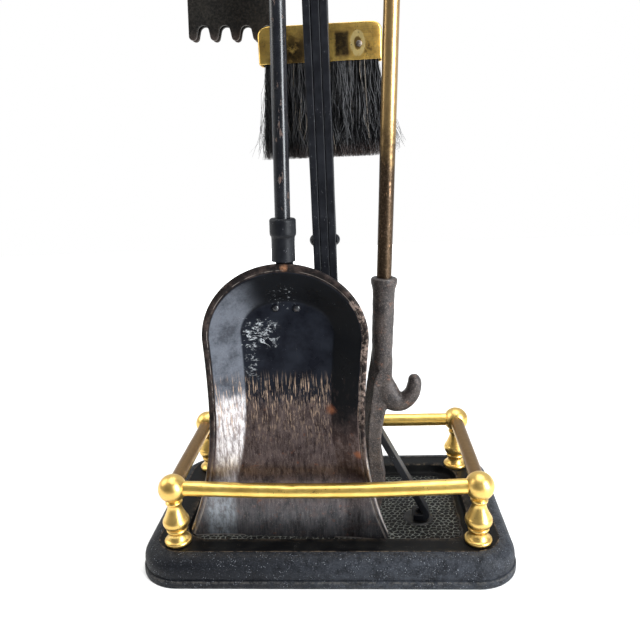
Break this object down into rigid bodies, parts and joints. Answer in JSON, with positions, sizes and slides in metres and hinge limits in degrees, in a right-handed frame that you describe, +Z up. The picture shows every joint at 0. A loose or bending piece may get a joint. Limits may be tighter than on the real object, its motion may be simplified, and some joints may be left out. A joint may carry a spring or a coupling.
{
  "type": "fireplace tool set",
  "caption": "Fireplace tool set: cast iron tray with a brass gallery rail, riveted bar stand, and a hanging shovel, poker, hearth brush and toothed tongs.",
  "frame": {"origin": "middle of the tray's underside, on the surface it stands on", "axes": "+Z up, +X to the right along the tray's long side, +Y to the back"},
  "size_m": [0.28, 0.1658, 0.7643],
  "materials": {
    "cast_iron_black": "sandy matt black",
    "black_enamel": "worn satin black",
    "worn_cast_iron": "bare, pitted and browned",
    "polished_brass": "polished, tarnished in places",
    "rivet_steel": "dull",
    "beech": "plain",
    "black_bristle": "coarse hair"
  },
  "bodies": {
    "stand": {"tray_casting": "cast_iron_black", "baluster_front_left": "polished_brass", "ball_front_left": "polished_brass", "gallery_nut_front_left": "rivet_steel", "baluster_front_right": "polished_brass", "ball_front_right": "polished_brass", "gallery_nut_front_right": "rivet_steel", "baluster_rear_left": "polished_brass", "ball_rear_left": "polished_brass", "gallery_nut_rear_left": "rivet_steel", "baluster_rear_right": "polished_brass", "ball_rear_right": "polished_brass", "gallery_nut_rear_right": "rivet_steel", "rail_front": "polished_brass", "bar_front": "black_enamel", "foot_screw_front": "rivet_steel", "rail_rear": "polished_brass", "bar_rear": "black_enamel", "foot_screw_rear": "rivet_steel", "rail_left": "polished_brass", "bar_left": "black_enamel", "foot_screw_left": "rivet_steel", "rail_right": "polished_brass", "bar_right": "black_enamel", "foot_screw_right": "rivet_steel", "post_rivet_lower": "black_enamel", "post_rivet_upper": "black_enamel", "arm_shovel": "black_enamel", "arm_poker": "black_enamel", "arm_brush": "black_enamel", "arm_tongs": "black_enamel", "hub": "polished_brass", "finial": "polished_brass"},
    "shovel": {"shovel_blade": "black_enamel", "shovel_socket": "black_enamel", "shovel_rod": "black_enamel", "shovel_grip": "polished_brass", "shovel_pin": "rivet_steel", "shovel_rivet_left": "rivet_steel", "shovel_rivet_right": "rivet_steel"},
    "poker": {"poker_head": "worn_cast_iron", "poker_rod": "polished_brass", "poker_grip": "polished_brass", "poker_pin": "rivet_steel"},
    "brush": {"brush_ferrule": "polished_brass", "brush_block": "beech", "brush_bristles": "black_bristle", "brush_rod": "black_enamel", "brush_grip": "polished_brass", "brush_nail_left": "polished_brass", "brush_nail_right": "polished_brass"},
    "tongs": {"tongs_rod": "black_enamel", "tongs_grip": "polished_brass", "tongs_leg_front": "black_enamel", "tongs_jaw_front": "black_enamel", "tongs_rivet_front": "rivet_steel", "tongs_pivot": "rivet_steel"},
    "tongs_rear_leg": {"tongs_leg_rear": "black_enamel", "tongs_jaw_rear": "black_enamel", "tongs_rivet_rear": "rivet_steel"}
  },
  "joints": [
    {"name": "shovel_lift", "type": "slide", "parent": "stand", "child": "shovel", "axis": [0.034, 0.009, 0.9994], "range_m": [0, 0.08]},
    {"name": "poker_lift", "type": "slide", "parent": "stand", "child": "poker", "axis": [0.0432, 0.015, 0.999], "range_m": [0, 0.08]},
    {"name": "brush_lift", "type": "slide", "parent": "stand", "child": "brush", "axis": [0, 0, 1], "range_m": [0, 0.06]},
    {"name": "tongs_lift", "type": "slide", "parent": "stand", "child": "tongs", "axis": [0.0519, 0, 0.9987], "range_m": [0, 0.06]},
    {"name": "tongs_open", "type": "hinge", "parent": "tongs", "child": "tongs_rear_leg", "pos_m": [-0.0482, 0.04, 0.54175], "axis": [0.9987, 0, -0.0519], "range_deg": [0, 24]}
  ]
}
